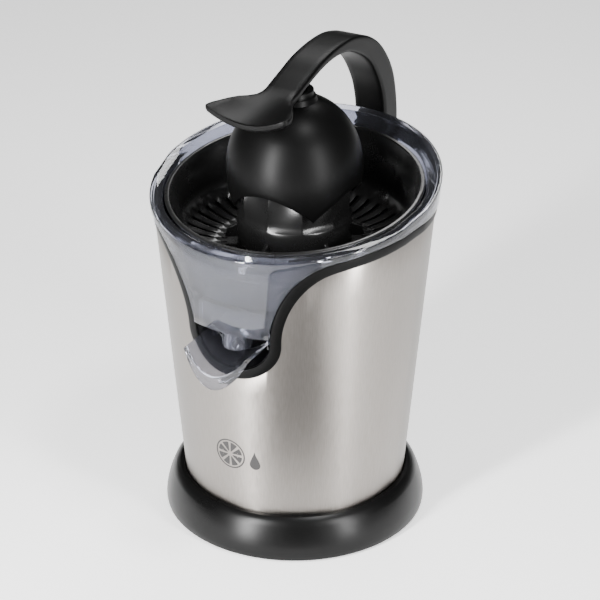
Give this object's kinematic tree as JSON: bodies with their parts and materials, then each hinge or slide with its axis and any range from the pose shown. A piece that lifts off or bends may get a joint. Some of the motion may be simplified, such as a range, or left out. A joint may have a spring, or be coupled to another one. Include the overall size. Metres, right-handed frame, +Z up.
{
  "type": "citrus press juicer",
  "caption": "Lever citrus press with a steel-clad motor base, clear juice collector, strainer basket, turning reamer and a hinged arm that presses a dome over it.",
  "frame": {"origin": "on the spindle's axis, in the plane that the rubber feet stand on (the bottom cover's face is 1.5 mm above it)", "axes": "+Z up along the spindle; the spout points to -Y and the lever's hinge is at +Y; +X is to the right seen from the spout"},
  "size_m": [0.195, 0.2461, 0.3265],
  "materials": {
    "brushed_sleeve": "vertically brushed stainless steel, satin",
    "satin_black_abs": "satin black moulded ABS",
    "gloss_black_abs": "polished black moulded ABS",
    "black_abs": "fine-textured black moulded ABS",
    "clear_polycarbonate": "clear moulded polycarbonate, slightly grey",
    "black_rubber": "black moulded rubber",
    "turned_steel": "turned and zinc-plated steel",
    "motor_steel": "stacked silicon-steel sheet",
    "copper_winding": "enamelled copper wire",
    "sintered_bronze": "sintered bronze",
    "acetal_white": "natural white acetal"
  },
  "bodies": {
    "root": {"base_foot": "black_abs", "bottom_cover": "black_abs", "cord_gland": "black_rubber", "rubber_foot_1": "black_rubber", "rubber_foot_2": "black_rubber", "rubber_foot_3": "black_rubber", "rubber_foot_4": "black_rubber", "cover_screw_1": "turned_steel", "cover_screw_2": "turned_steel", "cover_screw_3": "turned_steel", "cover_screw_4": "turned_steel", "steel_sleeve": "brushed_sleeve", "trim_band": "satin_black_abs", "inner_housing": "black_abs", "shaft_seal": "black_rubber", "juice_collector": "clear_polycarbonate", "strainer_basket": "gloss_black_abs", "chute_pin": "turned_steel", "hinge_bracket": "satin_black_abs", "hinge_pin": "turned_steel", "bracket_screw_1": "turned_steel", "bracket_screw_2": "turned_steel", "press_spring": "turned_steel", "idler_axle": "turned_steel", "gear_plate_upper": "black_abs", "gear_plate_lower": "black_abs", "spindle_bush": "sintered_bronze", "gear_post_1": "turned_steel", "plate_screw_1": "turned_steel", "gear_post_2": "turned_steel", "plate_screw_2": "turned_steel", "gear_post_3": "turned_steel", "plate_screw_3": "turned_steel", "gear_post_4": "turned_steel", "plate_screw_4": "turned_steel", "chassis_ring": "black_abs", "switch_body": "black_abs", "motor_stator": "motor_steel", "motor_coil_left": "copper_winding", "motor_coil_right": "copper_winding", "motor_bracket_lower": "motor_steel", "motor_bracket_upper": "motor_steel", "rotor_bearing_lower": "sintered_bronze", "rotor_bearing_upper": "sintered_bronze"},
    "lever": {"lever_arm": "satin_black_abs", "dome_pin": "turned_steel"},
    "dome": {"press_dome": "satin_black_abs"},
    "drive": {"output_gear": "acetal_white"},
    "spindle": {"spindle_shaft": "turned_steel", "reamer_cone": "gloss_black_abs"},
    "idler": {"idler_gear": "acetal_white"},
    "rotor": {"rotor_core": "motor_steel", "rotor_shaft": "turned_steel", "rotor_pinion": "turned_steel", "cooling_fan": "acetal_white"},
    "switch": {"switch_plunger": "acetal_white"},
    "chute": {"drip_chute": "clear_polycarbonate"}
  },
  "joints": [
    {"name": "lever_hinge", "type": "hinge", "parent": "root", "child": "lever", "pos_m": [0, 0.121, 0.222], "axis": [-1, 0, 0], "range_deg": [0, 95]},
    {"name": "dome_float", "type": "hinge", "parent": "lever", "child": "dome", "pos_m": [0, 0, 0.3038], "axis": [1, 0, 0], "range_deg": [-1.5, 1.5]},
    {"name": "drive_spin", "type": "hinge", "parent": "root", "child": "drive", "pos_m": [0, 0, 0.12], "axis": [0, 0, 1], "continuous": true},
    {"name": "spindle_press", "type": "slide", "parent": "drive", "child": "spindle", "axis": [0, 0, 1], "range_m": [-0.0025, 0], "stiffness_N_per_m": 4000, "springref_m": 0.002, "deforming": ["press_spring"]},
    {"name": "idler_spin", "type": "hinge", "parent": "root", "child": "idler", "pos_m": [0, 0.036, 0.11], "axis": [0, 0, 1], "continuous": true},
    {"name": "rotor_spin", "type": "hinge", "parent": "root", "child": "rotor", "pos_m": [0, 0, 0.06], "axis": [0, 0, 1], "continuous": true},
    {"name": "switch_press", "type": "slide", "parent": "root", "child": "switch", "axis": [0, 0, 1], "range_m": [-0.0025, 0]},
    {"name": "chute_tip", "type": "hinge", "parent": "root", "child": "chute", "pos_m": [0, -0.066, 0.1605], "axis": [-1, 0, 0], "range_deg": [0, 10]}
  ],
  "couplings": [
    {"joint": "idler_spin", "follows": "drive_spin", "ratio": -3.8},
    {"joint": "rotor_spin", "follows": "drive_spin", "ratio": 14.44},
    {"joint": "switch_press", "follows": "spindle_press", "ratio": 1}
  ]
}
